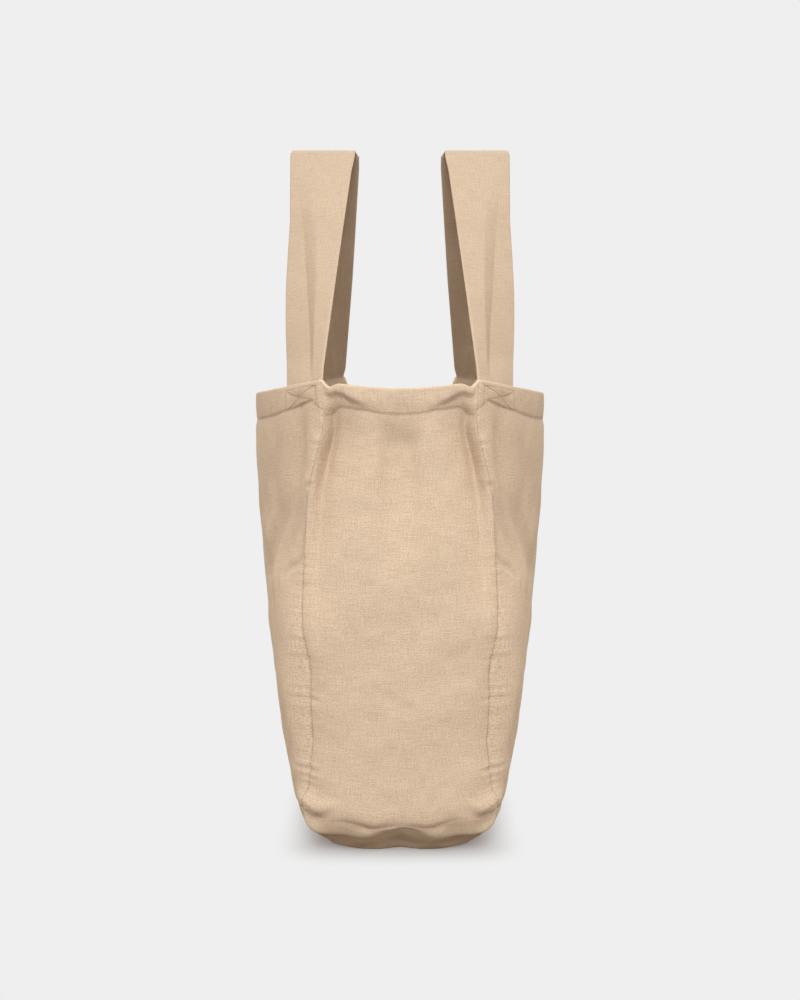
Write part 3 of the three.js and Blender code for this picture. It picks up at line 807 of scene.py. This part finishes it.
# a row down each corner seam, one along the hem, and a crossed box over each strap end
def makeStitches():
    seamRow = stitchRows("seamStitches", *seamStitches(), seamThread["size"])
    rows = []
    for surface, side in ((panelPoint, -1), (panelPoint, 1), (gussetPoint, -1), (gussetPoint, 1)):
        t = np.linspace(-stitch["hemEnd"], stitch["hemEnd"], stitch["hemSteps"])
        rows.append(hemLineStitches(surface, side, t, np.full(stitch["hemSteps"], hem["stitchUp"])))
    hemRow = stitchRows("hemStitches", *joined(rows))
    low, high = strapBox["low"], strapBox["high"]
    ends = np.array([strapBox["from"], strapBox["to"]])
    start, stop = strapFeet((ends - strap["clear"]) / strap["foot"])
    corners = {"a": (start, low), "b": (stop, low), "c": (stop, high), "d": (start, high)}
    corners = {key: np.array(place)[:, None] for key, place in corners.items()}
    share = np.linspace(0, 1, stitch["boxSteps"])
    rows = []
    for side in (-1, 1):
        for end in (-1, 1):
            for one, two in ("bc", "cd", "da", "ac", "bd"):
                t, up = corners[one] + (corners[two] - corners[one]) * share
                rows.append(hemLineStitches(panelPoint, side, -end * t, up))
    boxRow = stitchRows("strapBoxStitches", *joined(rows))
    return hemRow, boxRow, seamRow


# Shader maths: a socket that takes operators, and one way to add any node
class Value:
    def __init__(self, tree, socket):
        self.tree, self.socket = tree, socket

    def node(self, kind, settings=None, **sockets):
        made = self.tree.nodes.new(kind)
        for key, value in (settings or {}).items():
            setattr(made, key, value)
        for key, value in sockets.items():
            name = key.lstrip("_")
            socket = made.inputs[int(name) if name.isdigit() else name.replace("_", " ")]
            if isinstance(value, Value):
                self.tree.links.new(value.socket, socket)
            else:
                socket.default_value = value
        return made

    def out(self, kind, output=0, settings=None, **sockets):
        return Value(self.tree, self.node(kind, settings, **sockets).outputs[output])

    def maths(self, operation, other):
        return self.out("ShaderNodeMath", 0, {"operation": operation}, _0=self, _1=other)

    def sine(self):
        return self.out("ShaderNodeMath", 0, {"operation": "SINE"}, _0=self)

    def vector(self, operation, output=0, **sockets):
        return self.out("ShaderNodeVectorMath", output, {"operation": operation}, _0=self, **sockets)

    def mix(self, low, high):
        return self.out("ShaderNodeMix", 2, {"data_type": "RGBA"}, _0=self, _6=low, _7=high)

    def smooth(self, low, high, atLow=0.0, atHigh=1.0):
        return self.out("ShaderNodeMapRange", 0, {"interpolation_type": "SMOOTHSTEP"}, Value=self,
                        From_Min=low, From_Max=high, To_Min=atLow, To_Max=atHigh)

    def split(self):
        made = self.node("ShaderNodeSeparateXYZ", _0=self)
        return [Value(self.tree, socket) for socket in made.outputs]

    def into(self, socket):
        self.tree.links.new(self.socket, socket)

    def __add__(self, other):
        return self.maths("ADD", other)

    def __sub__(self, other):
        return self.maths("SUBTRACT", other)

    def __mul__(self, other):
        return self.maths("MULTIPLY", other)

    __radd__ = __add__


# a new material, its nodes, and a start for making more of them
def newMaterial(name):
    material = bpy.data.materials.new(name)
    material.use_nodes = True
    return material, material.node_tree.nodes, Value(material.node_tree, None)


linen = {
    "yarn": 0.00072,  # pitch of the weave in metres
    "dark": (0.48, 0.356, 0.245), "light": (0.712, 0.568, 0.423),
    "grain": {  # grains for each metre across and along the cloth, detail and seed
        "warp": (1150.0, 70.0, 2.0, 3.0), "weft": (60.0, 1050.0, 2.0, 9.0),
        "fine": (1000.0, 1000.0, 2.0, 5.0), "mottle": (14.0, 14.0, 3.0, 1.0),
    },
    "grainRough": 0.6,
    "warpTone": 1.0, "weftTone": 1.15, "fineTone": 2.8, "mottleTone": 0.25,
    "crownBump": 0.5, "slubBump": 0.9, "fineBump": 0.4, "bump": 0.35, "bumpHigh": 0.0004,
    "roughness": 0.92, "roughSpread": 0.1, "sheen": 0.02, "sheenRough": 0.6, "specular": 0.2,
    "strapShadeTint": 0.84, "strapContrast": 0.8,  # the straps take a darker copy of the linen, painted shade that evens their up-facing legs with the body; their grain is pressed flatter, with less contrast
}


# plain-weave linen: slubs drawn out along warp and weft, a soft mottle, and the weave's crowns as bump;
# each noise counts from its middle, 0.5
def linenMaterial(name, tint=1.0, contrast=1.0):
    material, nodes, start = newMaterial(name)
    shader = nodes["Principled BSDF"]
    across, along, _ = start.out("ShaderNodeUVMap", 0, {"uv_map": "clothMetres"}).split()

    def grain(kind):
        wide, long, detail, seed = linen["grain"][kind]
        place = start.out("ShaderNodeCombineXYZ", _0=across * wide, _1=along * long, _2=seed)
        return start.out("ShaderNodeTexNoise", Vector=place, Scale=1.0, Detail=detail,
                         Roughness=linen["grainRough"])

    warp, weft, fine, mottle = (grain(kind) for kind in ("warp", "weft", "fine", "mottle"))
    tone = (warp - 0.5) * linen["warpTone"] + (weft - 0.5) * linen["weftTone"]
    tone = (tone + (fine - 0.5) * linen["fineTone"]) * contrast
    tone = tone + (mottle - 0.5) * linen["mottleTone"] + 0.5
    # a tint below one darkens both colours; the straps use it as painted shade
    dark, light = (tuple(c * tint for c in linen[key]) + (1,) for key in ("dark", "light"))
    tone.mix(dark, light).into(shader.inputs["Base Color"])
    crown = 2 * math.pi / (2 * linen["yarn"])
    over, under = (across * crown).sine(), (along * crown).sine()
    height = over * under * linen["crownBump"] + (warp + weft) * linen["slubBump"]
    height = height + fine * linen["fineBump"]
    bump = start.out("ShaderNodeBump", Strength=linen["bump"], Distance=linen["bumpHigh"],
                     Height=height)
    bump.into(shader.inputs["Normal"])
    rough = linen["roughness"] + (tone - 0.5) * linen["roughSpread"]
    rough.into(shader.inputs["Roughness"])
    shader.inputs["Sheen Weight"].default_value = linen["sheen"]
    shader.inputs["Sheen Roughness"].default_value = linen["sheenRough"]
    shader.inputs["Specular IOR Level"].default_value = linen["specular"]
    return material


thread = {
    # colour and pale are darker than the linen: painted shade that stands for the shadow in the needle
    # holes
    "colour": (0.40, 0.29, 0.195, 1), "pale": (0.54, 0.42, 0.30, 1),
    "grain": 900.0, "detail": 2.0, "bump": 0.3, "bumpHigh": 0.0002, "roughness": 0.85,
}


# linen thread: a fine grain in its colour and its bump; its colour is darker than the cloth, painted shade
# of the needle holes
def threadMaterial():
    material, nodes, start = newMaterial("linenThreadHoleShade")
    shader = nodes["Principled BSDF"]
    place = start.out("ShaderNodeTexCoord", 3)
    grain = start.out("ShaderNodeTexNoise", Vector=place, Scale=thread["grain"],
                      Detail=thread["detail"])
    grain.mix(thread["colour"], thread["pale"]).into(shader.inputs["Base Color"])
    bump = start.out("ShaderNodeBump", Strength=thread["bump"], Distance=thread["bumpHigh"],
                     Height=grain)
    bump.into(shader.inputs["Normal"])
    shader.inputs["Roughness"].default_value = thread["roughness"]
    return material


def dress(piece, material):
    piece.data.materials.append(material)
    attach(piece, "root")


view = {
    "distance": 1091.5, "height": 438.0,  # camera from the bag's middle and above the floor
    "focal": 1046.0, "horizon": 369.0, "imageHigh": 1000,  # in the photo's pixels
    "sensor": 36.0,
}


# camera before the narrow side, pitched down so that the horizon is where the photo has it
def makeCamera():
    data = bpy.data.cameras.new("bagCamera")
    camera = bpy.data.objects.new("bagCamera", data)
    data.sensor_width = view["sensor"]
    data.lens = view["focal"] / view["imageHigh"] * data.sensor_width
    pitch = math.atan((view["imageHigh"] / 2 - view["horizon"]) / view["focal"])
    camera.location = (0, -view["distance"] * mm, view["height"] * mm)
    camera.rotation_euler = (math.pi / 2 - pitch, 0, 0)
    bpy.context.collection.objects.link(camera)
    bpy.context.scene.camera = camera


studio = {
    "backdrop": (0.863, 0.863, 0.863, 1),  # pale grey of the floor and the background
    "sky": (1.23, 1.19, 1.12, 1), "ground": (0.14, 0.076, 0.026, 1), "skyFrom": -0.1, "skyTo": 0.2,
    "sideFill": 0.45, "sideMean": 0.25,  # more light from the left and right of the sky, less elsewhere
    "keyPower": 28.5, "keyColour": (0.98, 1.0, 1.05), "keySize": 1.2,
    "keyPlace": (0, -2.0, 1.4), "keyAim": (0, 0, 0.3),
    "floorReach": 12.0, "floorMatt": (0.5, 0.5, 0.5, 1),
    "shadowHalf": (0.07, 0.165, 0), "shadowReach": 0.05, "shadowShare": 0.9,  # contact shadow of the base
}


# pale floor that glows like the background, with a matt patch round the base that takes its shadow
def makeFloor():
    reach = studio["floorReach"] / mm
    points = np.array([[-1, -1, 0], [1, -1, 0], [1, 1, 0], [-1, 1, 0]]) * reach
    floor = meshPiece("paleFloor", points, np.array([[0, 1, 2, 3]]))
    material, nodes, start = newMaterial("paleFloor")
    nodes.remove(nodes["Principled BSDF"])
    glow = start.out("ShaderNodeEmission", Color=studio["backdrop"], Strength=1.0)
    matt = start.out("ShaderNodeBsdfDiffuse", Color=studio["floorMatt"])
    place = start.out("ShaderNodeTexCoord", 3).vector("ABSOLUTE")
    place = place.vector("SUBTRACT", _1=studio["shadowHalf"]).vector("MAXIMUM", _1=(0, 0, 0))
    near = place.vector("LENGTH", 1).smooth(0.0, studio["shadowReach"], studio["shadowShare"], 0.0)
    mixed = start.out("ShaderNodeMixShader", _0=near, _1=glow, _2=matt)
    mixed.into(nodes["Material Output"].inputs["Surface"])
    floor.data.materials.append(material)
    floor.visible_diffuse = False


# bright sky over a dim ground, brighter to the left and right, and one round softbox high in front
def makeLight():
    world = bpy.data.worlds.new("studio")
    bpy.context.scene.world = world
    world.use_nodes = True
    tree = world.node_tree
    start = Value(tree, None)
    seen = start.out("ShaderNodeLightPath", 0)
    side, _, up = start.out("ShaderNodeTexCoord", 0).split()
    above = up.smooth(studio["skyFrom"], studio["skyTo"])
    fill = side * side * studio["sideFill"] + (1 - studio["sideFill"] * studio["sideMean"])
    light = above.mix(studio["ground"], studio["sky"]).vector("SCALE", Scale=fill)
    seen.mix(light, studio["backdrop"]).into(tree.nodes["Background"].inputs["Color"])
    data = bpy.data.lights.new("keySoftbox", "AREA")
    data.shape, data.size, data.energy = "DISK", studio["keySize"], studio["keyPower"]
    data.color = studio["keyColour"]
    softbox = bpy.data.objects.new("keySoftbox", data)
    softbox.location = studio["keyPlace"]
    aim = Vector(studio["keyAim"]) - Vector(studio["keyPlace"])
    softbox.rotation_euler = aim.to_track_quat("-Z", "Y").to_euler()
    bpy.context.collection.objects.link(softbox)
    bpy.context.scene.view_settings.view_transform = "Standard"


makeCamera()
made = makeWalls()
print("walls made")
made["baseCloth"] = makeBase()
made["rimHem"] = makeHem()
print("base and hem made")
made["strapLeft"] = makeStrap("strapLeft", "strap_left", -1)
made["strapRight"] = makeStrap("strapRight", "strap_right", 1)
hemRow, boxRow, seamRow = makeStitches()
print("stitches made")
bodyLinen = linenMaterial("bodyLinen")
# the straps get the linen darkened by the shade tint: painted shade
strapLinenShaded = linenMaterial("strapLinenShaded", linen["strapShadeTint"], linen["strapContrast"])
threads = threadMaterial()
for name, piece in made.items():
    dress(piece, strapLinenShaded if name.startswith("strap") else bodyLinen)
for piece in (hemRow, boxRow):
    dress(piece, threads)
dress(seamRow, threads)
makeFloor()
makeLight()
print("dressed and lit")
